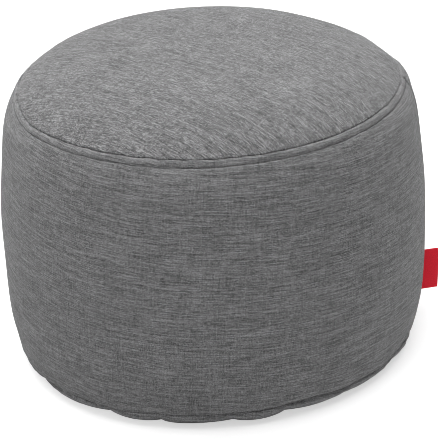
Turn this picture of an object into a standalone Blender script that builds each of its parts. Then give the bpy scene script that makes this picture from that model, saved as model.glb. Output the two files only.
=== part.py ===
# A round filled footstool: one tall side panel, a crowned top panel and a flat
# bottom panel sewn together by two felled, topstitched seams, and a small ribbon
# tag sewn into the upright seam at its right side.
# Metres, +Z up. The origin is the centre of the resting face, on the floor, and
# the front is towards -Y.

import math

import bmesh
import bpy
from mathutils import Vector

# ---- driving dimensions ----
WIDTH = 0.500                # widest, across the bulge of the side
HEIGHT = 0.365               # floor to the top of the crown
CLOTH = 0.0022               # the sewn panels, doubled at their seams
GAP = 0.0003                 # between two pieces that touch

TOP_SEAM_RADIUS = 0.2226     # where the top panel meets the side panel
TOP_SEAM_HEIGHT = 0.3252
TOP_BAND_WIDTH = 0.0092      # the side panel's felled edge, seam to topstitching
TOP_BAND_SLOPE = 64.0        # degrees below level
CROWN_DISH = 0.45            # share of the crown's fall that is a shallow dish, the rest is at its rim
CROWN_RIM_POWER = 6
SEAM_DROOP = 0.0010          # both cloths dip into a seam by this
SEAM_ROLL = 0.0016           # the sheets round over within this of it
SEAM_ROLL_DROOP = 0.0003
BAND_RISE = 0.0012           # a band stands proud of its two edges

BASE_SEAM_RADIUS = 0.2285    # where the side panel meets the bottom panel
BASE_SEAM_HEIGHT = 0.0074
BASE_BAND_RADIUS = 0.2342    # the topstitching of the base band
BASE_BAND_HEIGHT = 0.0192
FOOT_RADIUS = 0.205          # the flat that rests on the floor

# the filled wall between its two topstitched grooves
WALL = (                     # height, radius
    (0.0224, 0.2362),
    (0.0350, 0.2393),
    (0.0600, 0.2445),
    (0.0900, 0.2472),
    (0.1250, 0.2489),
    (0.1600, 0.5 * WIDTH),
    (0.1950, 0.2492),
    (0.2300, 0.2467),
    (0.2620, 0.2442),
    (0.2850, 0.2411),
    (0.3020, 0.2362),
    (0.3140, 0.2296),
)

# the base band is pinched in here, in degrees to the right of the front
PINCHES = (-176, -158, -141, -120, -103, -86, -72, -56, -31, -15,
           4, 20, 41, 57, 75, 95, 112, 133, 152, 169)
PINCH_IN = 0.0042            # a lobe between two pinches stands out by this
PINCH_DOWN = 0.0030          # and hangs lower by this
PINCH_FADE = 0.030           # height above the base seam where the pinches are gone
PINCH_START = 0.201          # radius under the stool where they begin
LOBE_POWER = 0.6             # under 1, so a lobe is full and a pinch is narrow
LOBE_MEAN = 0.6              # the lobe height that leaves the plain form as it is

# the filling has settled to one side
LEAN_RIGHT = 0.034
LEAN_BACK = 0.035
TOP_TILT = 0.0315            # the top falls to the right

# and left the form a little uneven
SWELLS = (                   # degrees to the right of the front, height, outward, upward
    (-150, 0.30, 0.0000, 0.0019),
    (-105, 0.30, -0.0020, -0.0004),
    (-60, 0.04, 0.0015, 0.0000),
    (-60, 0.30, 0.0000, -0.0027),
    (-20, 0.30, -0.0006, -0.0010),
    (20, 0.30, -0.0015, -0.0026),
    (60, 0.04, 0.0025, 0.0000),
    (60, 0.30, -0.0019, 0.0012),
    (105, 0.04, 0.0019, 0.0000),
    (105, 0.30, 0.0020, -0.0021),
    (150, 0.30, 0.0000, -0.0013),
)
SWELL_TURN = 32.0            # degrees over which a swell dies away
SWELL_RISE = 0.07            # height over which it does

TAG_HEIGHT = 0.052
TAG_REACH = 0.019            # how far the folded ribbon stands out
TAG_RIBBON = 0.0008
TAG_LAYER_GAP = 0.0007       # between the two layers of the fold
TAG_CENTRE = 0.069           # height of its middle
TAG_AZIMUTH = -3.0           # degrees from +X towards +Y
TAG_TURN = 12.0              # it points this much further round
TAG_SEAT = 0.0004            # clear of the side that it is sewn to
TAG_ROWS = 4
TAG_FOLD_STEPS = 6

STEPS = 108                  # facets round the footstool
BAND_ROWS = 4
CROWN_RINGS = (0.0, 0.045, 0.090, 0.130, 0.162, 0.188, 0.206, 0.2165)
SHARP_ANGLE = 40.0           # edges bent further than this stay crisp
FOOT_RINGS = (0.0, 0.080, 0.150, 0.190, FOOT_RADIUS, 0.211, 0.216, 0.221)


# ---- materials ----
CLOTH_GREY = (0.215, 0.215, 0.219)
BOTTOM_GREY = (0.060, 0.060, 0.062)
RIBBON_RED = (0.560, 0.018, 0.032)


def cloth_material(name, colour, roughness):
    material = bpy.data.materials.new(name)
    material.use_nodes = True
    shader = material.node_tree.nodes["Principled BSDF"]
    shader.inputs["Base Color"].default_value = (*colour, 1.0)
    shader.inputs["Roughness"].default_value = roughness
    shader.inputs["Metallic"].default_value = 0.0
    material.diffuse_color = (*colour, 1.0)
    return material


# ---- outlines, as (radius, height) pairs ----
def crown(radius, depth=0.0):
    """A point of the crown, sunk below its surface along the normal."""
    share = radius / TOP_SEAM_RADIUS
    fall = HEIGHT - TOP_SEAM_HEIGHT
    dish = CROWN_DISH * share ** 2
    rim = (1.0 - CROWN_DISH) * share ** CROWN_RIM_POWER
    dish_slope = 2.0 * CROWN_DISH * share
    rim_slope = CROWN_RIM_POWER * (1.0 - CROWN_DISH) * share ** (CROWN_RIM_POWER - 1)
    slope = -fall * (dish_slope + rim_slope) / TOP_SEAM_RADIUS
    normal = Vector((-slope, 1.0)).normalized()
    return Vector((radius, HEIGHT - fall * (dish + rim))) - normal * depth


def foot(radius, depth=0.0):
    """A point of the resting face, which turns up to the base seam at its rim."""
    turn = max(0.0, (radius - FOOT_RADIUS) / (BASE_SEAM_RADIUS - FOOT_RADIUS))
    height = BASE_SEAM_HEIGHT * turn ** 2
    slope = 2.0 * BASE_SEAM_HEIGHT * turn / (BASE_SEAM_RADIUS - FOOT_RADIUS)
    normal = Vector((-slope, 1.0)).normalized()
    return Vector((radius, height)) + normal * depth


def band(start, end):
    """A felled edge between its seam and its topstitching, plump between them."""
    along = (end - start).normalized()
    outward = Vector((-along.y, along.x))
    if outward.x < 0.0:
        outward = -outward
    points = []
    for row in range(BAND_ROWS + 1):
        share = row / BAND_ROWS
        points.append(start.lerp(end, share) + outward * (BAND_RISE * math.sin(math.pi * share)))
    return points


def side_outline():
    points = [crown(radius, CLOTH + GAP) for radius in CROWN_RINGS]
    flank = TOP_SEAM_RADIUS + GAP
    points.append(crown(flank, CLOTH + GAP))
    seam = crown(flank, SEAM_DROOP)
    slope = math.radians(TOP_BAND_SLOPE)
    stitching = seam + TOP_BAND_WIDTH * Vector((math.cos(slope), -math.sin(slope)))
    points += band(seam, stitching)
    points += [Vector((radius, height)) for height, radius in reversed(WALL)]
    stitching = Vector((BASE_BAND_RADIUS, BASE_BAND_HEIGHT))
    flank = BASE_SEAM_RADIUS + GAP
    points += band(stitching, foot(flank, SEAM_DROOP))
    points.append(foot(flank, CLOTH + GAP))
    points += [foot(radius, CLOTH + GAP) for radius in reversed(FOOT_RINGS)]
    return points


def top_outline():
    points = [crown(radius) for radius in CROWN_RINGS]
    points.append(crown(TOP_SEAM_RADIUS - SEAM_ROLL, SEAM_ROLL_DROOP))
    points.append(crown(TOP_SEAM_RADIUS, SEAM_DROOP))
    points.append(crown(TOP_SEAM_RADIUS, CLOTH))
    points += [crown(radius, CLOTH) for radius in reversed(CROWN_RINGS)]
    return points


def bottom_outline():
    points = [foot(radius) for radius in FOOT_RINGS]
    points.append(foot(BASE_SEAM_RADIUS - SEAM_ROLL, SEAM_ROLL_DROOP))
    points.append(foot(BASE_SEAM_RADIUS, SEAM_DROOP))
    points.append(foot(BASE_SEAM_RADIUS, CLOTH))
    points += [foot(radius, CLOTH) for radius in reversed(FOOT_RINGS)]
    return points


# ---- the form that every piece shares ----
def ease(value, low, high):
    share = min(1.0, max(0.0, (value - low) / (high - low)))
    return share * share * (3.0 - 2.0 * share)


def lobe(azimuth):
    """0 at a pinch of the base band and 1 midway between two of them."""
    ends = PINCHES + (PINCHES[0] + 360,)
    degrees = (azimuth - ends[0]) % 360 + ends[0]
    for left, right in zip(ends, ends[1:]):
        if left <= degrees <= right:
            return math.sin(math.pi * (degrees - left) / (right - left)) ** LOBE_POWER
    return 0.0


def pinch(point):
    """Draws the base band in and up at its pinches."""
    radius = math.hypot(point.x, point.y)
    reach = ease(radius, PINCH_START, BASE_SEAM_RADIUS)
    reach *= 1.0 - ease(point.z, BASE_SEAM_HEIGHT, BASE_SEAM_HEIGHT + PINCH_FADE)
    if reach == 0.0:
        return point
    amount = reach * (lobe(math.degrees(math.atan2(point.x, -point.y))) - LOBE_MEAN)
    scale = 1.0 + PINCH_IN * amount / radius
    return Vector((point.x * scale, point.y * scale, max(0.0, point.z - PINCH_DOWN * amount)))


def bell(value):
    return math.exp(-0.5 * value * value)


def swell(point):
    """Moves the plain turned form out and up by the swells near a point."""
    radius = math.hypot(point.x, point.y)
    if radius < 0.001:
        return point
    azimuth = math.degrees(math.atan2(point.x, -point.y))
    outward = 0.0
    upward = 0.0
    for place, height, out, up in SWELLS:
        turn = bell(((azimuth - place + 180.0) % 360.0 - 180.0) / SWELL_TURN)
        outward += out * turn * bell((point.z - height) / SWELL_RISE)
        upward += up * turn * point.z / HEIGHT
    reach = min(1.0, 2.0 * radius / WIDTH)
    scale = 1.0 + outward * reach / radius
    return Vector((point.x * scale, point.y * scale, point.z + upward * reach))


def settle(point):
    """Leans the filled form and tilts its top, and leaves the floor level."""
    x, y, z = swell(point)
    return Vector((x + LEAN_RIGHT * z, y + LEAN_BACK * z, z - TOP_TILT * x * z / HEIGHT))


# ---- pieces ----
def finished(name, bm, material):
    bmesh.ops.recalc_face_normals(bm, faces=bm.faces[:])
    mesh = bpy.data.meshes.new(name)
    bm.to_mesh(mesh)
    bm.free()
    mesh.materials.append(material)
    mesh.shade_smooth()
    mesh.set_sharp_from_angle(angle=math.radians(SHARP_ANGLE))
    piece = bpy.data.objects.new(name, mesh)
    bpy.context.collection.objects.link(piece)
    return piece


def turned(name, outline, material):
    """Spins an outline that starts and ends on the axis into a closed piece."""
    bm = bmesh.new()
    verts = [bm.verts.new((point.x, 0.0, point.y)) for point in outline]
    edges = [bm.edges.new(pair) for pair in zip(verts, verts[1:])]
    bmesh.ops.spin(bm, geom=verts + edges, cent=(0, 0, 0), axis=(0, 0, 1),
                   angle=2.0 * math.pi, steps=STEPS, use_merge=True, use_duplicate=False)
    bmesh.ops.remove_doubles(bm, verts=bm.verts[:], dist=0.00001)
    for vert in bm.verts:
        vert.co = settle(pinch(vert.co))
    return finished(name, bm, material)


def wall_radius(height):
    for (low, low_radius), (high, high_radius) in zip(WALL, WALL[1:]):
        if low <= height <= high:
            return low_radius + (high_radius - low_radius) * (height - low) / (high - low)
    return 0.0


def ribbon_section():
    """The fold from above, as (reach, side) pairs: out along one layer, back along the other."""
    inner = 0.5 * TAG_LAYER_GAP
    outer = inner + TAG_RIBBON
    bend = TAG_REACH - outer
    skew = math.tan(math.radians(TAG_TURN))
    turns = [math.pi * (0.5 - step / TAG_FOLD_STEPS) for step in range(TAG_FOLD_STEPS + 1)]
    section = [(outer * skew, outer)]
    section += [(bend + outer * math.cos(turn), outer * math.sin(turn)) for turn in turns]
    section += [(-outer * skew, -outer), (-inner * skew, -inner)]
    section += [(bend + inner * math.cos(turn), inner * math.sin(turn)) for turn in reversed(turns)]
    section.append((inner * skew, inner))
    return section


def ribbon_tag(name, material):
    """A ribbon folded on itself: its fold stands out and its two ends meet the side."""
    bm = bmesh.new()
    verts = [bm.verts.new((reach, side, 0.0)) for reach, side in ribbon_section()]
    face = bm.faces.new(verts)
    for row in range(TAG_ROWS):
        result = bmesh.ops.extrude_face_region(bm, geom=[face])
        if row:
            bmesh.ops.delete(bm, geom=[face], context="FACES_ONLY")
        face = next(item for item in result["geom"] if isinstance(item, bmesh.types.BMFace))
        bmesh.ops.translate(bm, verts=face.verts, vec=(0.0, 0.0, TAG_HEIGHT / TAG_ROWS))
    azimuth = math.radians(TAG_AZIMUTH)
    heading = azimuth + math.radians(TAG_TURN)
    outward = Vector((math.cos(azimuth), math.sin(azimuth), 0.0))
    ahead = Vector((math.cos(heading), math.sin(heading), 0.0))
    across = Vector((-math.sin(heading), math.cos(heading), 0.0))
    for vert in bm.verts:
        reach, side, rise = vert.co
        height = TAG_CENTRE - 0.5 * TAG_HEIGHT + rise
        root = outward * wall_radius(height)
        root.z = height
        vert.co = settle(root + ahead * (reach + TAG_SEAT) + across * side)
    return finished(name, bm, material)


def main():
    for old in list(bpy.data.objects):
        bpy.data.objects.remove(old, do_unlink=True)
    side_cloth = cloth_material("side cloth", CLOTH_GREY, 0.93)
    top_cloth = cloth_material("top cloth", CLOTH_GREY, 0.93)
    bottom_cloth = cloth_material("bottom cloth", BOTTOM_GREY, 0.90)
    tag_ribbon = cloth_material("tag ribbon", RIBBON_RED, 0.70)
    turned("side_panel", side_outline(), side_cloth)
    turned("top_panel", top_outline(), top_cloth)
    turned("bottom_panel", bottom_outline(), bottom_cloth)
    ribbon_tag("tag", tag_ribbon)


main()
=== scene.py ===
import math

import bmesh
import bpy
from mathutils import Matrix, Quaternion, Vector, geometry, noise


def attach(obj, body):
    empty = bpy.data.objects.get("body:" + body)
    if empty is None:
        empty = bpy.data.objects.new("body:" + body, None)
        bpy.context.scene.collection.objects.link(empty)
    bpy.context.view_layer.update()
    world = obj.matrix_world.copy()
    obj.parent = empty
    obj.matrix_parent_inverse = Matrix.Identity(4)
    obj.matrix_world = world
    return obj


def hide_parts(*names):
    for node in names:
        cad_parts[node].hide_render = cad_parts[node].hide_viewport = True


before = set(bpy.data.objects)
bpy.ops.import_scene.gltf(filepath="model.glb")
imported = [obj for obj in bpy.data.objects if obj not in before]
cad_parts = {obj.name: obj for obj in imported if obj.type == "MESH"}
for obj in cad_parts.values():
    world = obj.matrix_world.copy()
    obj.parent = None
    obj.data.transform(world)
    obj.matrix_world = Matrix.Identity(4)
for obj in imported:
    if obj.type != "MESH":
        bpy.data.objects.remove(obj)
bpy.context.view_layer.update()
print("frame loaded:", ", ".join(sorted(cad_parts)))


# The form that the pieces share
form = {
    "widest": 0.250,                # radius at the bulge
    "height": 0.365,                # floor to the top of the crown
    "cloth": 0.0022,                # thickness of the sewn panels
    "gap": 0.0003,                  # between two pieces that touch
    "topSeam": (0.2226, 0.3252),    # radius, height
    "topBand": 0.0092,              # the felled edge, seam to topstitching
    "topBandSlope": 64.0,           # degrees below level
    "crownDish": 0.45,              # share of the crown's fall that is a shallow dish
    "crownRimPower": 6,
    "seamDroop": 0.0010,
    "baseSeam": (0.2285, 0.0074),
    "baseStitching": (0.2342, 0.0192),
    "footRadius": 0.205,            # the flat that rests on the floor
    "leanRight": 0.034,
    "leanBack": 0.035,
    "topTilt": 0.0315,              # the top falls to the right
    "swellTurn": 32.0,              # degrees over which a swell dies away
    "swellRise": 0.07,
    "seamAzimuth": 87.0,            # the upright seam, which holds the tag
}
wallPoints = [                      # (radius, height), top to bottom
    (0.2296, 0.3140), (0.2362, 0.3020), (0.2411, 0.2850), (0.2442, 0.2620),
    (0.2467, 0.2300), (0.2492, 0.1950), (0.2500, 0.1600), (0.2489, 0.1250),
    (0.2472, 0.0900), (0.2445, 0.0600), (0.2393, 0.0350), (0.2362, 0.0224),
]
swells = [                          # azimuth, height, outward, upward
    (-150, 0.30, 0.0000, 0.0019), (-105, 0.30, -0.0020, -0.0004), (-66, 0.03, 0.0024, 0.0000),
    (-60, 0.30, 0.0000, -0.0027), (-20, 0.30, -0.0006, -0.0010), (20, 0.30, -0.0015, -0.0026),
    (60, 0.04, 0.0025, 0.0000), (60, 0.30, -0.0019, 0.0012), (105, 0.04, 0.0019, 0.0000),
    (105, 0.30, 0.0020, -0.0021), (150, 0.30, 0.0000, -0.0013),
]
pinches = {                         # where the base band is drawn in
    "places": [                     # azimuth, how far drawn in, fullness of the lobe after it, its lean
        (-176, -0.60, 0.15, 1.0), (-158, -0.60, 0.15, 1.0), (-141, -0.60, 0.15, 1.0),
        (-120, -0.60, 0.15, 1.0), (-103, -0.60, 0.15, 1.0), (-84, -0.70, -0.05, 1.0),
        (-61.5, -1.00, 0.20, 1.0), (-34.2, -0.88, 0.25, 1.0), (-18.2, -0.72, 0.14, 0.62),
        (2.6, -0.56, 0.38, 1.0), (17.4, -0.66, 0.20, 1.6), (36.5, -0.10, 0.26, 0.8),
        (57.5, -0.42, 0.26, 1.0), (76, -0.50, 0.25, 1.0), (95, -0.60, 0.15, 1.0),
        (112, -0.60, 0.15, 1.0), (133, -0.60, 0.15, 1.0), (152, -0.60, 0.15, 1.0),
        (169, -0.60, 0.15, 1.0),
    ],
    "inward": 0.0042,
    "down": 0.0030,
    "fade": 0.020,                  # height above the base seam where they are gone
    "start": 0.201,                 # radius under the stool where they begin
    "lobePower": 0.6,
}
sags = {                            # where the topstitching above the base band hangs lower
    "places": [                     # azimuth, how far, degrees over which it dies away
        (-62.0, 0.0030, 9.0), (-34.0, 0.0022, 6.0), (36.0, 0.0026, 4.5), (52.0, 0.0036, 5.5),
    ],
    "full": 0.004,                  # it hangs all the way up to this far above its line
    "gone": 0.055,                  # height above which nothing of it is left
}
waves = {                           # how the sewn lines stray from their plain rings
    "lines": [                      # height, reach, size of the waves, how far
        (0.3210, 0.0100, 0.012, 0.00055), (0.0180, 0.0060, 0.013, 0.00050),
    ],
    "start": 0.190,                 # radius where they begin
    "startWidth": 0.015,            # and how much further out they are full
    "seamDrop": 0.0016,             # the top seam sits this much lower all round
    "seamReach": 0.0042,
    "dips": [                       # where it sits lower still: azimuth, how far, degrees, reach
        (-69.0, 0.0042, 10.0, 0.0100), (101.0, 0.0036, 12.0, 0.0030),
    ],
    "fuller": [                     # azimuth, height, how far out or (below 0) in, degrees, reach
        (96.5, 0.3150, 0.0034, 5.0, 0.0080),
        (25.0, 0.0192, -0.0036, 8.0, 0.0018),
        (2.0, 0.0192, -0.0025, 4.5, 0.0018),
        (-58.0, 0.0192, -0.0022, 7.0, 0.0018),
        (64.0, 0.0192, -0.0025, 7.0, 0.0018),
    ],
}

seamStart = math.radians(form["seamAzimuth"] - 90.0)    # from +X towards +Y
fullTurn = 2.0 * math.pi


def crown(radius, depth=0.0):
    # a point of the crown and the way out of it, sunk below its surface
    seamRadius, seamHeight = form["topSeam"]
    share = radius / seamRadius
    fall = form["height"] - seamHeight
    dish = form["crownDish"]
    power = form["crownRimPower"]
    drop = dish * share ** 2 + (1.0 - dish) * share ** power
    slope = fall * (2.0 * dish * share + power * (1.0 - dish) * share ** (power - 1)) / seamRadius
    out = Vector((slope, 1.0)).normalized()
    return Vector((radius, form["height"] - fall * drop)) - out * depth, out


def foot(radius, depth=0.0):
    # a point of the resting face, which turns up at its rim
    seamRadius, seamHeight = form["baseSeam"]
    turn = max(0.0, (radius - form["footRadius"]) / (seamRadius - form["footRadius"]))
    slope = 2.0 * seamHeight * turn / (seamRadius - form["footRadius"])
    inward = Vector((-slope, 1.0)).normalized()
    return Vector((radius, seamHeight * turn ** 2)) + inward * depth, -inward


def ease(value, low, high):
    share = min(1.0, max(0.0, (value - low) / (high - low)))
    return share * share * (3.0 - 2.0 * share)


def bell(value):
    return math.exp(-0.5 * value * value)


def nearness(azimuth, place, degrees):
    # 1 at the place, dying away on both sides of it
    return bell(((azimuth - place + 180.0) % 360.0 - 180.0) / degrees)


def rolled(distance, width, depth):
    # how far cloth drops at this distance from the seam that it rolls into
    share = min(1.0, max(0.0, 1.0 - distance / width))
    return depth * (1.0 - math.sqrt(1.0 - share * share))


def fullness(azimuth):
    # of the base band: full in its lobes, drawn in at its pinches
    first = pinches["places"][0]
    ends = pinches["places"] + [(first[0] + 360, *first[1:])]
    degrees = (azimuth - first[0]) % 360 + first[0]
    for (left, drawn, full, lean), following in zip(ends, ends[1:]):
        right, drawnNext = following[:2]
        if left <= degrees <= right:
            share = (degrees - left) / (right - left)
            lobe = max(0.0, math.sin(math.pi * share ** lean)) ** pinches["lobePower"]
            drawn += (drawnNext - drawn) * share
            return drawn + (full - drawn) * lobe
    return 0.0


def sag(azimuth):
    return sum(down * nearness(azimuth, place, degrees) for place, down, degrees in sags["places"])


def pinch(point):
    # draws the base band in and up at its pinches, and lets its topstitching hang
    seamRadius, seamHeight = form["baseSeam"]
    stitchHeight = form["baseStitching"][1]
    radius = math.hypot(point.x, point.y)
    if radius < pinches["start"] or point.z > sags["gone"]:
        return point
    azimuth = math.degrees(math.atan2(point.x, -point.y))
    reach = ease(radius, pinches["start"], seamRadius)
    reach *= 1.0 - ease(point.z, seamHeight, seamHeight + pinches["fade"])
    amount = reach * fullness(azimuth)
    scale = 1.0 + pinches["inward"] * amount / radius
    hang = ease(point.z, seamHeight, stitchHeight)
    hang *= 1.0 - ease(point.z, stitchHeight + sags["full"], sags["gone"])
    height = point.z - pinches["down"] * amount - hang * sag(azimuth)
    return Vector((point.x * scale, point.y * scale, max(0.0, height)))


def waver(point):
    # lets the sewn lines run a little unevenly
    radius = math.hypot(point.x, point.y)
    reach = ease(radius, waves["start"], waves["start"] + waves["startWidth"])
    if not reach:
        return point
    angle = math.atan2(point.y, point.x)
    azimuth = math.degrees(angle) + 90.0
    fromSeam = point.z - form["topSeam"][1]
    rise = -waves["seamDrop"] * bell(fromSeam / waves["seamReach"])
    for place, down, degrees, tall in waves["dips"]:
        rise -= down * nearness(azimuth, place, degrees) * bell(fromSeam / tall)
    for height, tall, size, amount in waves["lines"]:
        wave = onCircle(angle, size, 90.0 * height)
        rise += 2.0 * amount * wave * bell((point.z - height) / tall)
    scale = 1.0
    for place, height, out, degrees, tall in waves["fuller"]:
        near = nearness(azimuth, place, degrees)
        scale += out * reach * near * bell((point.z - height) / tall) / radius
    return Vector((point.x * scale, point.y * scale, point.z + rise * reach))


def swell(point):
    radius = math.hypot(point.x, point.y)
    if radius < 0.001:
        return point
    azimuth = math.degrees(math.atan2(point.x, -point.y))
    outward = 0.0
    upward = 0.0
    for place, height, out, up in swells:
        near = nearness(azimuth, place, form["swellTurn"])
        outward += out * near * bell((point.z - height) / form["swellRise"])
        upward += up * near * point.z / form["height"]
    reach = min(1.0, radius / form["widest"])
    scale = 1.0 + outward * reach / radius
    return Vector((point.x * scale, point.y * scale, point.z + upward * reach))


def settle(point):
    # leans the filled form and tilts its top, and leaves the floor level
    x, y, z = swell(point)
    tilt = form["topTilt"] * x * z / form["height"]
    return Vector((x + form["leanRight"] * z, y + form["leanBack"] * z, z - tilt))


# The panels' outlines, turned about the upright axis
seams = {
    "roll": 0.0030,                 # the panels round over within this of a seam
    "rollDepth": 0.0019,            # and drop by this
    "stitchRoll": 0.0036,           # the same beside the topstitching
    "stitchDepth": 0.0025,
    "baseRoll": 0.0026,             # and beside the topstitching at the base
    "baseDepth": 0.0026,
    "bandRise": 0.0035,             # the band's crown above the line between its two edges
    "bandPower": 0.6,               # below 1, its shoulders are squarer
    "baseRise": 0.0036,
    "rollRows": 6,
    "bandRows": 16,
}
rings = {                           # how far apart the rings of points lie
    "wall": 0.0065,
    "upperWall": 0.0027,            # closer within this reach of the topstitching
    "upperReach": 0.036,
    "lowerWall": 0.0025,            # and within this reach of the base
    "lowerReach": 0.045,
    "crown": 0.012,
    "crownRim": 0.0027,             # closer outside this radius
    "crownRimStart": 0.168,
    "footRim": 0.0015,
    "foot": [0.0, 0.080, 0.150, 0.190, 0.205, 0.211, 0.216, 0.221],         # radii under the stool
    "hidden": [0.0, 0.045, 0.090, 0.130, 0.162, 0.188, 0.206, 0.2165],      # and under the top panel
}


def outlinePoint(at, out, run):
    # run is the distance along the outline, 0 at the top stitching and growing downwards
    return {"at": at, "out": out, "run": run}


def smoothLine(points, pieces):
    # a smooth curve through the points, as a fine polyline
    tangents = []
    for index in range(len(points)):
        before = points[max(0, index - 1)]
        after = points[min(len(points) - 1, index + 1)]
        tangents.append((after - before).normalized())
    line = [points[0]]
    for index in range(len(points) - 1):
        start, end = points[index], points[index + 1]
        handle = (end - start).length / 3.0
        knots = (start, start + tangents[index] * handle, end - tangents[index + 1] * handle, end)
        line += geometry.interpolate_bezier(*knots, pieces + 1)[1:]
    return line


def alongLine(line, distance):
    # the point at this distance along a polyline, and the direction there
    for start, end in zip(line, line[1:]):
        step = (end - start).length
        if distance <= step or end is line[-1]:
            return start.lerp(end, min(1.0, distance / step)), (end - start).normalized()
        distance -= step


def spread(low, high, step):
    # even places from low to high, about a step apart, both ends included
    count = max(1, round((high - low) / step))
    return [low + (high - low) * index / count for index in range(count + 1)]


def bandOutline(start, end, rise, run):
    # a plump felled edge between its seam and its topstitching
    along = (end - start).normalized()
    out = Vector((-along.y, along.x))
    if out.x < 0.0:
        out = -out
    width = (end - start).length
    points = []
    for row in range(seams["bandRows"] + 1):
        turn = math.pi * row / seams["bandRows"]
        share = 0.5 - 0.5 * math.cos(turn)
        at = start.lerp(end, share) + out * (rise * math.sin(turn) ** seams["bandPower"])
        points.append(outlinePoint(at, out, run + share * width))
    return points


topSeamRadius = form["topSeam"][0]
baseSeamRadius = form["baseSeam"][0]
flankTop = topSeamRadius + form["gap"]
flankBase = baseSeamRadius + form["gap"]
slopeAngle = math.radians(form["topBandSlope"])
seamAt = crown(flankTop, form["seamDroop"])[0]
stitchAt = seamAt + form["topBand"] * Vector((math.cos(slopeAngle), -math.sin(slopeAngle)))
baseStitchAt = Vector(form["baseStitching"])
baseSeamAt = foot(flankBase, form["seamDroop"])[0]
wallKnots = [stitchAt] + [Vector(point) for point in wallPoints] + [baseStitchAt]
wallLine = smoothLine(wallKnots, pieces=8)
wallLength = sum((b - a).length for a, b in zip(wallLine, wallLine[1:]))
baseBand = (baseSeamAt - baseStitchAt).length


def wallOutline():
    # the wall from the top stitching to the base stitching, rolled in at both
    roll, baseRoll = seams["stitchRoll"], seams["baseRoll"]
    upper, lower = rings["upperReach"], wallLength - rings["lowerReach"]
    turns = [math.pi * 0.5 * row / seams["rollRows"] for row in range(seams["rollRows"])]
    near = [1.0 - math.cos(turn) for turn in turns]
    places = [roll * share for share in near] + spread(roll, upper, rings["upperWall"])
    places += spread(upper, lower, rings["wall"])[1:]
    places += spread(lower, wallLength - baseRoll, rings["lowerWall"])[1:]
    places += [wallLength - baseRoll * share for share in reversed(near)]
    points = []
    for place in places:
        at, along = alongLine(wallLine, place)
        out = Vector((-along.y, along.x))
        depth = rolled(place, roll, seams["stitchDepth"])
        depth += rolled(wallLength - place, baseRoll, seams["baseDepth"])
        points.append(outlinePoint(at - out * depth, out, place))
    return points


def crownRun(radius):
    return -form["topBand"] - max(0.0, topSeamRadius - radius)


def footRun(radius):
    return wallLength + baseBand + max(0.0, baseSeamRadius - radius)


def sideOutline():
    # under the top panel, out over its felled edge, down the wall, and in over the foot
    under = form["cloth"] + form["gap"]
    points = [outlinePoint(*crown(radius, under), crownRun(radius)) for radius in rings["hidden"]]
    points.append(outlinePoint(*crown(flankTop, under), crownRun(flankTop)))
    wall = wallOutline()
    start = crown(flankTop, seams["rollDepth"])[0]
    end = wall[0]["at"]
    points += bandOutline(start, end, seams["bandRise"], -form["topBand"])[:-1]
    points += wall
    start = wall[-1]["at"]
    end = foot(flankBase, seams["rollDepth"])[0]
    points += bandOutline(start, end, seams["baseRise"], wallLength)[1:]
    radii = [flankBase] + list(reversed(rings["foot"]))
    points += [outlinePoint(*foot(radius, under), footRun(radius)) for radius in radii]
    return points


def roundOutline(surface, runAt, seamRadius, radii, hiddenRadii):
    # a round panel: its face, the edge that rolls into its seam, and its hidden side
    points = [outlinePoint(*surface(radius), runAt(radius)) for radius in radii]
    for row in range(seams["rollRows"]):
        turn = math.pi * 0.5 * (row + 1) / seams["rollRows"]
        radius = seamRadius - seams["roll"] * (1.0 - math.sin(turn))
        depth = rolled(seamRadius - radius, seams["roll"], seams["rollDepth"])
        points.append(outlinePoint(*surface(radius, depth), runAt(radius)))
    radii = [seamRadius] + list(reversed(hiddenRadii))
    points += [outlinePoint(*surface(radius, form["cloth"]), runAt(radius)) for radius in radii]
    return points


def topOutline():
    rim, edge = rings["crownRimStart"], topSeamRadius - seams["roll"]
    radii = spread(0.0, rim, rings["crown"]) + spread(rim, edge, rings["crownRim"])[1:]
    return roundOutline(crown, crownRun, topSeamRadius, radii, rings["hidden"])


def bottomOutline():
    rim, edge = rings["foot"][-1], baseSeamRadius - seams["roll"]
    radii = rings["foot"][:-1] + spread(rim, edge, rings["footRim"])
    return roundOutline(foot, footRun, baseSeamRadius, radii, rings["foot"])


# The fine relief of the filled cloth
relief = {
    "uneven": 0.0006,               # soft dents and swells all over
    "unevenSize": 0.075,
    "unevenFade": 0.03,             # they are full this far from a seam
    "gather": 0.00045,              # puckers that run away from a seam
    "gatherSize": 0.013,
    "gatherStart": 0.003,
    "gatherReach": 0.013,
    "gatherDrift": 0.05,            # the length over which a pucker changes
    "baseGather": 1.4,              # those above the base, as a share of the others
    "bandLumps": 0.00040,
    "bandLumpSize": 0.012,
    "bandFade": 0.002,              # the upright seam is full this far from the other two
}
upright = {                         # the seam that closes the side panel
    "bandWidth": 0.0085,            # towards the back
    "bandRise": 0.0007,
    "bandEdges": (0.002, 0.004),    # the widths over which it rises and falls away
    "groove": 0.0016,
    "grooveWidth": 0.0022,
    "stitchGroove": 0.6,            # the groove of its topstitching, as a share of the seam's
    "crowding": 0.75,               # rings of points are this much closer at the seam
    "crowdingWidth": 0.045,         # as a share of a turn
}


def onCircle(angle, size, height):
    # noise that closes on itself round the stool, its bumps about this size
    radius = form["widest"] / size
    return noise.noise(Vector((math.cos(angle) * radius, math.sin(angle) * radius, height)))


def gathered(angle, distance, seed):
    # soft puckers that start at a seam and die away from it
    if distance > 4.0 * relief["gatherReach"]:
        return 0.0
    drift = distance / relief["gatherDrift"]
    soft = onCircle(angle, relief["gatherSize"], seed + drift)
    broad = onCircle(angle, 2.6 * relief["gatherSize"], seed + 7.3 + drift)
    crease = -max(0.0, 1.0 - 5.0 * abs(soft)) * (0.5 + broad)
    fade = math.exp(-distance / relief["gatherReach"]) * ease(distance, 0.0, relief["gatherStart"])
    return relief["gather"] * fade * (1.6 * soft + 1.1 * broad + 0.9 * crease)


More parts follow.
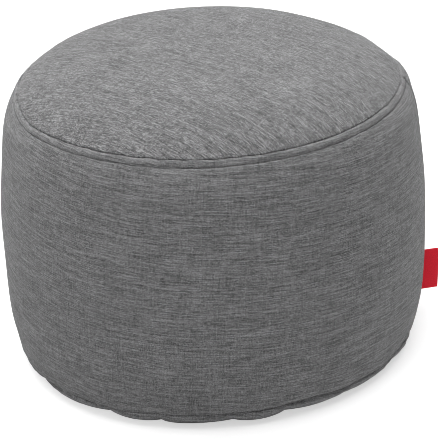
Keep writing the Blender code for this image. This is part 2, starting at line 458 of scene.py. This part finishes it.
def lumps(angle, turn, seed):
    # small lumps along a felled edge, none at its two sides, where the turn is 0 and pi
    return math.sin(turn) * relief["bandLumps"] * 2.0 * onCircle(angle, relief["bandLumpSize"], seed)


def seamRelief(angle):
    # the upright seam: a groove, then a flat band that ends in its topstitching
    across = ((angle + math.pi) % fullTurn - math.pi) * form["widest"]
    width = upright["grooveWidth"]
    end = upright["bandWidth"]
    rising, falling = upright["bandEdges"]
    groove = upright["groove"] * bell(across / (0.42 * width))
    stitched = upright["stitchGroove"] * upright["groove"] * bell((across - end) / (0.5 * width))
    band = upright["bandRise"] * (ease(across, 0.0, rising) - ease(across, end, end + falling))
    return band - groove - stitched


def reliefAt(angle, run, point):
    # how far the cloth stands out of its plain form
    soft = relief["uneven"] * 2.0 * noise.noise(point / relief["unevenSize"])
    fade = relief["unevenFade"]
    top = run + form["topBand"]
    base = run - wallLength
    if top < 0.0:
        return soft * ease(-top, 0.0, fade) + gathered(angle, -top, seed=3.0)
    if base > baseBand:
        return 0.0
    out = min(ease(top, 0.0, relief["bandFade"]), ease(baseBand - base, 0.0, relief["bandFade"]))
    out *= seamRelief(angle)
    if run < 0.0:
        return out + lumps(angle, math.pi * top / form["topBand"], seed=11.0)
    if base > 0.0:
        return out + lumps(angle, math.pi * min(1.0, base / baseBand), seed=17.0)
    out += soft * ease(run, 0.0, fade) * ease(-base, 0.0, fade)
    out += gathered(angle, run, seed=23.0)
    return out + relief["baseGather"] * gathered(angle, -base, seed=31.0)


def placed(angle, radius, height, out, run):
    # a point of the finished cloth; the angle is counted from the upright seam
    heading = Vector((math.cos(seamStart + angle), math.sin(seamStart + angle), 0.0))
    plain = heading * radius
    plain.z = height
    rise = reliefAt(angle, run, plain)
    moved = plain + heading * (out[0] * rise)
    moved.z += out[1] * rise
    return settle(pinch(waver(moved)))


def crowd(turn):
    # brings the rings of points closer together at the upright seam
    share = (turn / fullTurn + 0.5) % 1.0 - 0.5
    width = upright["crowdingWidth"]
    share *= 1.0 - upright["crowding"] * math.exp(-(share / width) ** 2)
    return fullTurn * share


def layWeave(bm, uv, angles, run, arc, width, planMap):
    # the map that the yarns follow: seen from above on a round panel, unrolled on the side
    axisWidth = 0.00001             # a point this near the upright axis has no angle
    late, early = 6.0, 0.3          # radians, near the end of the unrolled map and near its start
    for face in bm.faces:
        around = [angles[vert] for vert in face.verts if vert.co.xy.length > axisWidth]
        if max(around) - min(around) > math.pi:
            around = [turn % fullTurn for turn in around]
        centre = sum(around) / len(around)
        for loop in face.loops:
            vert = loop.vert
            turn = angles[vert] if vert.co.xy.length > axisWidth else centre
            turn = centre + (turn - centre + math.pi) % fullTurn - math.pi
            if planMap:
                reach = min(vert[arc], width - vert[arc])
                loop[uv].uv = (reach * math.cos(seamStart + turn), reach * math.sin(seamStart + turn))
            else:
                loop[uv].uv = (turn % fullTurn * form["widest"], -vert[run])
                if centre % fullTurn > late and turn % fullTurn < early:
                    loop[uv].uv.x += fullTurn * form["widest"]


def turnedPanel(name, outline, steps, planMap):
    # spins the outline, lays its weave map and settles it into the filled form
    bm = bmesh.new()
    layers = [bm.verts.layers.float.new(key) for key in ("run", "arc", "outRadius", "outHeight")]
    run, arc, outRadius, outHeight = layers
    width = 0.0
    verts = []
    for index, point in enumerate(outline):
        if index:
            width += (point["at"] - outline[index - 1]["at"]).length
        radius, height = point["at"]
        vert = bm.verts.new((radius * math.cos(seamStart), radius * math.sin(seamStart), height))
        for layer, value in zip(layers, (point["run"], width, point["out"].x, point["out"].y)):
            vert[layer] = value
        verts.append(vert)
    edges = [bm.edges.new(pair) for pair in zip(verts, verts[1:])]
    bmesh.ops.spin(bm, geom=verts + edges, cent=(0, 0, 0), axis=(0, 0, 1), angle=fullTurn,
                   steps=steps, use_merge=True, use_duplicate=False)
    bmesh.ops.remove_doubles(bm, verts=bm.verts[:], dist=0.000002)
    bmesh.ops.recalc_face_normals(bm, faces=bm.faces[:])
    uv = bm.loops.layers.uv.new("weave")
    angles = {}
    for vert in bm.verts:
        angles[vert] = crowd(math.atan2(vert.co.y, vert.co.x) - seamStart)
    layWeave(bm, uv, angles, run, arc, width, planMap)
    for vert in bm.verts:
        out = (vert[outRadius], vert[outHeight])
        vert.co = placed(angles[vert], vert.co.xy.length, vert.co.z, out, vert[run])
    return finishedPiece(name, bm, sharpAngle=50.0)


def finishedPiece(name, bm, sharpAngle):
    mesh = bpy.data.meshes.new(name)
    bm.to_mesh(mesh)
    bm.free()
    mesh.shade_smooth()
    mesh.set_sharp_from_angle(angle=math.radians(sharpAngle))
    piece = bpy.data.objects.new(name, mesh)
    bpy.context.scene.collection.objects.link(piece)
    return piece


# Materials
def wire(tree, socket, value):
    if isinstance(value, bpy.types.NodeSocket):
        tree.links.new(value, socket)
    else:
        socket.default_value = value


def maths(tree, operation, first, second=0.0, clamp=False):
    node = tree.nodes.new("ShaderNodeMath")
    node.operation = operation
    node.use_clamp = clamp
    wire(tree, node.inputs[0], first)
    wire(tree, node.inputs[1], second)
    return node.outputs[0]


def vectorOf(tree, x, y, z=0.0):
    node = tree.nodes.new("ShaderNodeCombineXYZ")
    for socket, value in zip(node.inputs, (x, y, z)):
        wire(tree, socket, value)
    return node.outputs[0]


def partsOf(tree, vector):
    node = tree.nodes.new("ShaderNodeSeparateXYZ")
    tree.links.new(vector, node.inputs[0])
    return node.outputs[0], node.outputs[1]


def noiseOf(tree, vector, scale=1.0, detail=0.0):
    node = tree.nodes.new("ShaderNodeTexNoise")
    wire(tree, node.inputs["Vector"], vector)
    node.inputs["Scale"].default_value = scale
    node.inputs["Detail"].default_value = detail
    return node.outputs["Fac"]


def mixed(tree, share, first, second):
    node = tree.nodes.new("ShaderNodeMix")
    for socket, value in zip((node.inputs[0], node.inputs[2], node.inputs[3]), (share, first, second)):
        wire(tree, socket, value)
    return node.outputs[0]


def weaveMap(tree):
    node = tree.nodes.new("ShaderNodeUVMap")
    node.uv_map = "weave"
    return node.outputs["UV"]


def toned(colour, share):
    return [share * part for part in colour]


def blended(tree, shader, share, dark, light):
    # the shader's colour, from dark to light
    node = tree.nodes.new("ShaderNodeMix")
    node.data_type = "RGBA"
    wire(tree, node.inputs[0], share)
    node.inputs[6].default_value = (*dark, 1.0)
    node.inputs[7].default_value = (*light, 1.0)
    tree.links.new(node.outputs[2], shader.inputs["Base Color"])


def bumped(tree, shader, height, strength, distance):
    node = tree.nodes.new("ShaderNodeBump")
    node.inputs["Strength"].default_value = strength
    node.inputs["Distance"].default_value = distance
    tree.links.new(height, node.inputs["Height"])
    tree.links.new(node.outputs["Normal"], shader.inputs["Normal"])


def newMaterial(name, colour, roughness):
    material = bpy.data.materials.new(name)
    material.use_nodes = True
    material.diffuse_color = (*colour, 1.0)
    shader = material.node_tree.nodes["Principled BSDF"]
    shader.inputs["Roughness"].default_value = roughness
    return material, material.node_tree, shader


clothLook = {
    "dark": (0.020, 0.020, 0.021),
    "light": (0.425, 0.425, 0.430),
    "weftPitch": 0.00080,           # from one weft yarn to the next
    "warpPitch": 0.00080,
    "wander": 0.6,                  # how far the yarns stray, in pitches
    "wanderSize": 0.036,
    "wefts": [(0.040, 1.1), (0.011, 0.8), (0.0038, 0.75), (0.0014, 0.9)],    # streaks: length, strength
    "warps": [(0.022, 1.05), (0.004, 0.9)],
    "weftShare": 0.25,              # how far the weft covers the warp, 0 for even
    "pairedSize": 0.004,            # patches where every second yarn is lighter
    "pairedStrength": 0.35,
    "contrast": 0.85,
    "level": 0.49,
    "curve": 1.35,
    "gaps": 0.14,                   # the dark between the yarns
    "roundness": 0.6,               # of the yarns, below 1 for flatter ones
    "blotchSize": 0.05,
    "blotchStrength": 0.015,
    "edges": [],                    # painted highlights, lighter lines along folds: place on the map, half width, strength
    "bump": 0.00035,
    "bumpStrength": 0.6,
    "paleRise": 1.2,                # how far pale yarns stand above dark ones, against their roundness
    "roughness": 0.92,
    "sheen": 0.18,
    "sheenRoughness": 0.45,
    "specular": 0.2,
    "turn": 3.5,                    # degrees, the weft against the panel's own map
    "shade": 1.0,
}


def streaks(tree, index, along, lengths, seed):
    # the tone of each yarn, which changes along it and differs from that of its neighbours
    tone = 0.0
    apart = 3.71 + 0.01 * seed
    across = maths(tree, "MULTIPLY", index, apart)
    for step, (length, strength) in enumerate(lengths):
        place = vectorOf(tree, maths(tree, "DIVIDE", along, length), across, seed + 5.3 * step)
        streak = maths(tree, "SUBTRACT", noiseOf(tree, place), 0.5)
        tone = maths(tree, "ADD", maths(tree, "MULTIPLY", streak, strength), tone)
    return tone


def everySecond(tree, index, patches, strength):
    # lighter and darker yarns by turns, in patches
    sign = maths(tree, "SUBTRACT", maths(tree, "FLOORED_MODULO", index, 2.0), 0.5)
    patch = maths(tree, "SUBTRACT", patches, 0.5)
    return maths(tree, "MULTIPLY", maths(tree, "MULTIPLY", sign, patch), 2.0 * strength)


def plainWeave(tree, flat, look):
    # at each crossing one yarn passes over the other; how pale the cloth is there, and how high
    along, across = partsOf(tree, flat)
    strayed = maths(tree, "SUBTRACT", noiseOf(tree, flat, 1.0 / look["wanderSize"]), 0.5)
    strayed = maths(tree, "MULTIPLY", strayed, 2.0 * look["wander"])
    column = maths(tree, "ADD", maths(tree, "DIVIDE", along, look["warpPitch"]), strayed)
    row = maths(tree, "ADD", maths(tree, "DIVIDE", across, look["weftPitch"]), strayed)
    rowIndex = maths(tree, "FLOOR", row)
    columnIndex = maths(tree, "FLOOR", column)
    weftTone = streaks(tree, rowIndex, along, look["wefts"], seed=0.0)
    warpTone = streaks(tree, columnIndex, across, look["warps"], seed=40.0)
    wave = maths(tree, "MULTIPLY", maths(tree, "SINE", maths(tree, "MULTIPLY", column, math.pi)),
                 maths(tree, "SINE", maths(tree, "MULTIPLY", row, math.pi)))
    tone = mixed(tree, maths(tree, "GREATER_THAN", wave, -look["weftShare"]), warpTone, weftTone)
    dome = maths(tree, "POWER", maths(tree, "ABSOLUTE", wave), look["roundness"])
    blotch = maths(tree, "SUBTRACT", noiseOf(tree, flat, 1.0 / look["blotchSize"], detail=2.0), 0.5)
    level = maths(tree, "ADD", maths(tree, "MULTIPLY", tone, look["contrast"]), look["level"])
    level = maths(tree, "ADD", level, maths(tree, "MULTIPLY", blotch, 2.0 * look["blotchStrength"]))
    paired = look["pairedStrength"]
    if paired:
        patches = noiseOf(tree, flat, 1.0 / look["pairedSize"])
        level = maths(tree, "ADD", level, everySecond(tree, rowIndex, patches, paired))
        patches = noiseOf(tree, flat, 1.3 / look["pairedSize"])
        level = maths(tree, "ADD", level, everySecond(tree, columnIndex, patches, 0.7 * paired))
    level = maths(tree, "POWER", maths(tree, "MAXIMUM", level, 0.0), look["curve"])
    level = maths(tree, "ADD", level, maths(tree, "MULTIPLY", dome, look["gaps"]), clamp=True)
    return level, maths(tree, "ADD", dome, maths(tree, "MULTIPLY", tone, look["paleRise"]))


def wovenCloth(name, look):
    dark = toned(look["dark"], look["shade"])
    light = toned(look["light"], look["shade"])
    colour = [0.5 * (a + b) for a, b in zip(dark, light)]
    material, tree, shader = newMaterial(name, colour, look["roughness"])
    place = weaveMap(tree)
    mapping = tree.nodes.new("ShaderNodeMapping")
    mapping.inputs["Rotation"].default_value = (0.0, 0.0, math.radians(look["turn"]))
    tree.links.new(place, mapping.inputs["Vector"])
    mapHeight = partsOf(tree, place)[1]
    level, height = plainWeave(tree, mapping.outputs["Vector"], look)
    # painted highlights: lighter lines laid into the colour along the folds
    for line, width, strength in look["edges"]:
        beside = maths(tree, "DIVIDE", maths(tree, "SUBTRACT", mapHeight, line), width)
        squared = maths(tree, "MULTIPLY", beside, beside)
        paintedHighlight = maths(tree, "EXPONENT", maths(tree, "MULTIPLY", squared, -0.5))
        level = maths(tree, "ADD", level, maths(tree, "MULTIPLY", paintedHighlight, strength))
    blended(tree, shader, level, dark, light)
    bumped(tree, shader, height, look["bumpStrength"], look["bump"])
    shader.inputs["Sheen Weight"].default_value = look["sheen"]
    shader.inputs["Sheen Roughness"].default_value = look["sheenRoughness"]
    shader.inputs["Specular IOR Level"].default_value = look["specular"]
    return material


topLook = {
    **clothLook,
    "weftPitch": 0.00075,
    "wefts": [(0.040, 0.75), (0.011, 0.70), (0.0038, 1.0), (0.0014, 1.4)],
    "warps": [(0.022, 0.7), (0.004, 0.8)],
    "light": (0.520, 0.520, 0.526),
    "weftShare": 0.24,
    "pairedStrength": 0.0,
    "contrast": 1.04,
    "level": 0.432,
    "blotchStrength": 0.0,
    "curve": 1.5,
    "turn": 40.0,
}
sideLook = {
    **clothLook,
    # painted highlights: just below the top seam, just below the topstitching, and on the base band
    # above its seam
    "edges": [
        (form["topBand"] - 0.0011, 0.0008, 0.10), (-0.0013, 0.0008, 0.07),
        (-wallLength - 0.0068, 0.0008, 0.12),
    ],
}
bottomLook = {**clothLook, "turn": 12.0, "shade": 0.3}
sideCloth = wovenCloth("side cloth", sideLook)
topCloth = wovenCloth("top cloth", topLook)
bottomCloth = wovenCloth("bottom cloth", bottomLook)
print("cloth materials ready")


# The panels
panels = {"steps": 600}    # rings of points round the stool

sidePanel = turnedPanel("sidePanel", sideOutline(), panels["steps"], False)
sidePanel.data.materials.append(sideCloth)
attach(sidePanel, "root")
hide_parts("side_panel")
print("side panel:", len(sidePanel.data.polygons), "faces")

topPanel = turnedPanel("topPanel", topOutline(), panels["steps"], True)
topPanel.data.materials.append(topCloth)
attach(topPanel, "root")
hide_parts("top_panel")
print("top panel:", len(topPanel.data.polygons), "faces")

bottomPanel = turnedPanel("bottomPanel", bottomOutline(), panels["steps"], True)
bottomPanel.data.materials.append(bottomCloth)
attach(bottomPanel, "root")
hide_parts("bottom_panel")
print("bottom panel:", len(bottomPanel.data.polygons), "faces")


# The topstitching
threadLook = {
    "colour": (0.024, 0.024, 0.025),
    "tones": (0.5, 1.5),            # darkest and lightest, as shares of the colour
    "fuzzScale": 1400.0,
    "roughness": 0.7,
    "sheen": 0.2,
}
stitching = {
    "pitch": 0.0036,
    "length": 0.0029,
    "topThickness": 0.0005,
    "baseThickness": 0.0013,
    "lift": 0.0001,
    "endMargin": 0.006,             # the upright row stops this far from the other two
    "outStep": 0.001,               # the way out of the cloth is read over this distance
    "sides": 8,                     # faces round a stitch, and along it
    "rings": 5,
    "group": 20,
}


def threadMaterial():
    material, tree, shader = newMaterial("thread", threadLook["colour"], threadLook["roughness"])
    place = tree.nodes.new("ShaderNodeTexCoord").outputs["Object"]
    fuzz = noiseOf(tree, place, threadLook["fuzzScale"], detail=1.0)
    blended(tree, shader, fuzz, *[toned(threadLook["colour"], share) for share in threadLook["tones"]])
    shader.inputs["Sheen Weight"].default_value = threadLook["sheen"]
    return material


def stitchShape(behind, ahead, above, thickness):
    # the matrix that lays a ball out as a stitch from behind to ahead, above it the way out
    middle = 0.5 * (behind + ahead)
    along = 0.5 * (ahead - behind)
    across = along.cross(above - middle).normalized()
    away = across.cross(along).normalized()
    thick = 0.5 * thickness
    shape = Matrix((across * thick, away * thick, along)).transposed().to_4x4()
    shape.translation = middle + away * stitching["lift"]
    return shape


def stitchRun(name, shapes, threads):
    # short stitches laid end to end, joined a group at a time
    bm = bmesh.new()
    scratch = bpy.data.meshes.new("scratch")
    for first in range(0, len(shapes), stitching["group"]):
        part = bmesh.new()
        for shape in shapes[first:first + stitching["group"]]:
            bmesh.ops.create_uvsphere(part, u_segments=stitching["sides"],
                                      v_segments=stitching["rings"], radius=1.0, matrix=shape)
        bmesh.ops.recalc_face_normals(part, faces=part.faces[:])
        part.to_mesh(scratch)
        part.free()
        bm.from_mesh(scratch)
    bpy.data.meshes.remove(scratch)
    piece = finishedPiece(name, bm, sharpAngle=60.0)
    piece.data.materials.append(threads)
    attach(piece, "root")
    print(name + ":", len(shapes), "stitches")


def onPanel(turn, point, lift=0.0):
    at = point["at"] + point["out"] * lift
    return placed(turn, at.x, at.y, point["out"], point["run"])


def ringShapes(point, thickness):
    # stitches round the stool at an outline point
    radius = point["at"].x
    count = round(fullTurn * radius / stitching["pitch"])
    half = 0.5 * stitching["length"] / radius
    shapes = []
    for index in range(count):
        turn = fullTurn * (index + 0.5) / count
        above = onPanel(turn, point, stitching["outStep"])
        ends = [onPanel(turn - half, point), onPanel(turn + half, point)]
        shapes.append(stitchShape(*ends, above, thickness))
    return shapes


def uprightShapes(thickness):
    # stitches down the wall, where the upright seam's band ends
    turn = upright["bandWidth"] / form["widest"]
    half = 0.5 * stitching["length"]
    margin = stitching["endMargin"]
    shapes = []
    for place in spread(margin, wallLength - margin, stitching["pitch"]):
        ends = []
        for run in (place - half, place, place + half):
            at, along = alongLine(wallLine, run)
            ends.append(outlinePoint(at, Vector((-along.y, along.x)), run))
        above = onPanel(turn, ends[1], stitching["outStep"])
        shapes.append(stitchShape(onPanel(turn, ends[0]), onPanel(turn, ends[2]), above, thickness))
    return shapes


thread = threadMaterial()
wall = wallOutline()
stitchRun("topStitching", ringShapes(wall[0], stitching["topThickness"]), thread)
stitchRun("baseStitching", ringShapes(wall[-1], stitching["baseThickness"]), thread)
stitchRun("uprightStitching", uprightShapes(stitching["topThickness"]), thread)


# The ribbon tag
tagLook = {
    "height": 0.052,
    "reach": 0.019,                 # how far the folded ribbon stands out
    "straighten": 0.75,             # how far its fold stays upright where the wall falls away
    "ribbon": 0.0008,
    "layerGap": 0.0007,
    "centre": 0.069,                # height of its middle
    "azimuth": -3.0,                # degrees from +X towards +Y
    "turn": 12.0,
    "seat": 0.0004,
    "rows": 26,
    "columnStep": 0.0018,
    "foldSteps": 14,
    "selvedge": 0.0013,             # width of the firmer edge along top and bottom
    "selvedgeRise": 0.00008,
    "ribPitch": 0.0005,
    "crossPitch": 0.0007,           # of the weaker ribs across them
    "crossShare": 0.5,
    "bump": 0.00008,
    "bumpStrength": 0.4,
    "colour": (0.860, 0.012, 0.034),
    "tones": (0.82, 1.18),          # darkest and lightest, as shares of the colour
    "toneScale": 600.0,
    "roughness": 0.62,
    "sheen": 0.05,
    "specular": 0.2,
}


def ribbonSection():
    # the fold from above: out along one layer and back along the other
    inner = 0.5 * tagLook["layerGap"]
    outer = inner + tagLook["ribbon"]
    bend = tagLook["reach"] - outer
    skew = math.tan(math.radians(tagLook["turn"]))
    steps = tagLook["foldSteps"]
    turns = [math.pi * (0.5 - step / steps) for step in range(steps + 1)]
    runs = spread(0.0, bend, tagLook["columnStep"])[1:-1]
    section = [(outer * skew, outer)] + [(reach, outer) for reach in runs]
    section += [(bend + outer * math.cos(turn), outer * math.sin(turn)) for turn in turns]
    section += [(reach, -outer) for reach in reversed(runs)]
    section += [(-outer * skew, -outer), (-inner * skew, -inner)]
    section += [(reach, -inner) for reach in runs]
    section += [(bend + inner * math.cos(turn), inner * math.sin(turn)) for turn in reversed(turns)]
    section += [(reach, inner) for reach in reversed(runs)]
    section.append((inner * skew, inner))
    return section


def wallRadius(height):
    for start, end in zip(wallLine, wallLine[1:]):
        if end.y <= height <= start.y:
            return start.lerp(end, (start.y - height) / (start.y - end.y)).x
    return form["widest"]


def ribbonMaterial():
    material, tree, shader = newMaterial("tag ribbon", tagLook["colour"], tagLook["roughness"])
    place = weaveMap(tree)
    out, up = partsOf(tree, place)
    ribs = maths(tree, "SINE", maths(tree, "MULTIPLY", up, fullTurn / tagLook["ribPitch"]))
    crossRibs = maths(tree, "SINE", maths(tree, "MULTIPLY", out, fullTurn / tagLook["crossPitch"]))
    height = maths(tree, "ADD", ribs, maths(tree, "MULTIPLY", crossRibs, tagLook["crossShare"]))
    bumped(tree, shader, height, tagLook["bumpStrength"], tagLook["bump"])
    tone = noiseOf(tree, place, tagLook["toneScale"], detail=2.0)
    blended(tree, shader, tone, *[toned(tagLook["colour"], share) for share in tagLook["tones"]])
    shader.inputs["Sheen Weight"].default_value = tagLook["sheen"]
    shader.inputs["Specular IOR Level"].default_value = tagLook["specular"]
    return material


def ribbonTag():
    bm = bmesh.new()
    uv = bm.loops.layers.uv.new("weave")
    section = ribbonSection()
    verts = [bm.verts.new((reach, side, 0.0)) for reach, side in section]
    face = bm.faces.new(verts)
    for row in range(tagLook["rows"]):
        result = bmesh.ops.extrude_face_region(bm, geom=[face])
        if row:
            bmesh.ops.delete(bm, geom=[face], context="FACES_ONLY")
        face = next(item for item in result["geom"] if isinstance(item, bmesh.types.BMFace))
        bmesh.ops.translate(bm, verts=face.verts, vec=(0.0, 0.0, tagLook["height"] / tagLook["rows"]))
    bmesh.ops.recalc_face_normals(bm, faces=bm.faces[:])
    for face in bm.faces:
        for loop in face.loops:
            loop[uv].uv = (loop.vert.co.x, loop.vert.co.z)
    azimuth = math.radians(tagLook["azimuth"])
    heading = azimuth + math.radians(tagLook["turn"])
    outward = Vector((math.cos(azimuth), math.sin(azimuth), 0.0))
    ahead = Vector((math.cos(heading), math.sin(heading), 0.0))
    across = Vector((-math.sin(heading), math.cos(heading), 0.0))
    innerFace = 0.5 * tagLook["layerGap"] + 0.0001
    for vert in bm.verts:
        reach, side, rise = vert.co
        edge = min(rise, tagLook["height"] - rise)
        firm = tagLook["selvedgeRise"] * (1.0 - ease(edge, 0.0, tagLook["selvedge"]))
        if abs(side) > innerFace:
            side += math.copysign(firm, side)
        height = tagLook["centre"] - 0.5 * tagLook["height"] + rise
        root = outward * wallRadius(height)
        root.z = height
        fallen = wallRadius(tagLook["centre"]) - wallRadius(height)
        reach *= 1.0 + tagLook["straighten"] * fallen / tagLook["reach"]
        vert.co = settle(root + ahead * (reach + tagLook["seat"]) + across * side)
    return finishedPiece("ribbonTag", bm, sharpAngle=40.0)


tag = ribbonTag()
tag.data.materials.append(ribbonMaterial())
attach(tag, "root")
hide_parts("tag")
print("tag ready")


# Floor, light and camera
studio = {
    "floorSize": 60.0,
    "floorTone": 0.56,
    "floorGain": 1.10,              # how far light and shadow show on the white sweep
    "floorGlow": 0.55,              # lit from below as well, so that shadows on it stay pale
    "floorFill": 0.06,              # light that the floor adds to what it throws back
    "nearFill": 0.36,               # and more of it close by, most on the right
    "nearReach": 0.10,
    "middleFill": 0.1,              # the share of it in front, which grows by rightGrowth a metre
    "rightGrowth": 3.5,
    "leftGlow": 0.14,               # the shadow is paler on the left
    "leftGrowth": 4.5,
    "filterWidth": 1.0,             # pixels, as crisp as the photo
    "lights": [                     # name, azimuth, elevation, softness in degrees, strength
        ("top light", 0.0, 90.0, 50.0, 2.40),
        ("back light", 180.0, 40.0, 40.0, 0.55),
        ("left light", -90.0, 22.0, 40.0, 0.23),
        ("left back light", -140.0, 25.0, 40.0, 0.84),
        ("right back light", 140.0, 25.0, 40.0, 0.92),
        ("front light", -10.0, 50.0, 70.0, 0.85),
    ],
    "eye": (0.0, -2.3557, 1.2705),
    "aim": (0.0130, 0.0, 0.1482),
    "roll": -4.27,
    "lens": 179.9,
}


def facing(place, aim):
    return (Vector(aim) - Vector(place)).to_track_quat("-Z", "Y")


def softLight(name, azimuth, elevation, softness, strength):
    # a wide light that comes from the same side everywhere, so that the floor is lit alike all over
    light = bpy.data.lights.new(name, "SUN")
    light.angle = math.radians(softness)
    light.energy = strength
    lamp = bpy.data.objects.new(name, light)
    turn = math.radians(azimuth)
    rise = math.radians(elevation)
    flat = math.cos(rise)
    place = Vector((math.sin(turn) * flat, -math.cos(turn) * flat, math.sin(rise)))
    lamp.location = place * 3.0
    lamp.rotation_mode = "QUATERNION"
    lamp.rotation_quaternion = facing(place, (0.0, 0.0, 0.0))
    bpy.context.scene.collection.objects.link(lamp)


def studioFloor():
    # a white sweep: plain in the light that it throws back, brighter where it is looked at
    bm = bmesh.new()
    bmesh.ops.create_grid(bm, x_segments=1, y_segments=1, size=0.5 * studio["floorSize"])
    floor = finishedPiece("floor", bm, sharpAngle=60.0)
    tone = studio["floorTone"]
    material, tree, shader = newMaterial("floor", (tone,) * 3, roughness=0.9)
    seen = tree.nodes.new("ShaderNodeLightPath").outputs["Is Camera Ray"]
    gain = maths(tree, "MULTIPLY", seen, studio["floorGain"] - 1.0)
    level = maths(tree, "MULTIPLY", maths(tree, "ADD", gain, 1.0), tone)
    diffuse = tree.nodes.new("ShaderNodeBsdfDiffuse")
    tree.links.new(vectorOf(tree, level, level, level), diffuse.inputs["Color"])
    glow = tree.nodes.new("ShaderNodeEmission")
    place = tree.nodes.new("ShaderNodeTexCoord").outputs["Object"]
    side = partsOf(tree, place)[0]
    away = tree.nodes.new("ShaderNodeVectorMath")
    away.operation = "LENGTH"
    tree.links.new(place, away.inputs[0])
    beyond = maths(tree, "SUBTRACT", away.outputs["Value"], form["widest"])
    beyond = maths(tree, "DIVIDE", beyond, studio["nearReach"])
    squared = maths(tree, "MULTIPLY", beyond, beyond)
    near = maths(tree, "EXPONENT", maths(tree, "MULTIPLY", squared, -1.0))
    right = maths(tree, "MULTIPLY", side, studio["rightGrowth"])
    right = maths(tree, "ADD", right, studio["middleFill"], clamp=True)
    left = maths(tree, "MULTIPLY", side, -studio["leftGrowth"], clamp=True)
    fill = maths(tree, "MULTIPLY", maths(tree, "MULTIPLY", near, right), studio["nearFill"])
    fill = maths(tree, "ADD", fill, studio["floorFill"])
    pale = maths(tree, "MULTIPLY", maths(tree, "MULTIPLY", near, left), studio["leftGlow"])
    pale = maths(tree, "ADD", pale, studio["floorGlow"])
    tree.links.new(mixed(tree, seen, fill, pale), glow.inputs["Strength"])
    both = tree.nodes.new("ShaderNodeAddShader")
    tree.links.new(diffuse.outputs[0], both.inputs[0])
    tree.links.new(glow.outputs[0], both.inputs[1])
    tree.links.new(both.outputs[0], tree.nodes["Material Output"].inputs["Surface"])
    tree.nodes.remove(shader)
    floor.data.materials.append(material)


def studioWorld():
    # white behind the floor where it is looked at, but it lights nothing
    world = bpy.data.worlds.new("studio")
    world.use_nodes = True
    tree = world.node_tree
    background = tree.nodes["Background"]
    background.inputs["Color"].default_value = (1.0, 1.0, 1.0, 1.0)
    seen = tree.nodes.new("ShaderNodeLightPath").outputs["Is Camera Ray"]
    tree.links.new(seen, background.inputs["Strength"])
    return world


scene = bpy.context.scene
studioFloor()
for settings in studio["lights"]:
    softLight(*settings)
scene.world = studioWorld()
scene.view_settings.view_transform = "Standard"
scene.cycles.filter_width = studio["filterWidth"]

camera = bpy.data.cameras.new("camera")
camera.lens = studio["lens"]
camera.sensor_fit = "HORIZONTAL"
camera.clip_end = 100.0
cameraObject = bpy.data.objects.new("camera", camera)
cameraObject.location = studio["eye"]
cameraObject.rotation_mode = "QUATERNION"
rollTurn = Quaternion((0.0, 0.0, 1.0), math.radians(studio["roll"]))
cameraObject.rotation_quaternion = facing(studio["eye"], studio["aim"]) @ rollTurn
scene.collection.objects.link(cameraObject)
scene.camera = cameraObject
print("floor, light and camera ready")
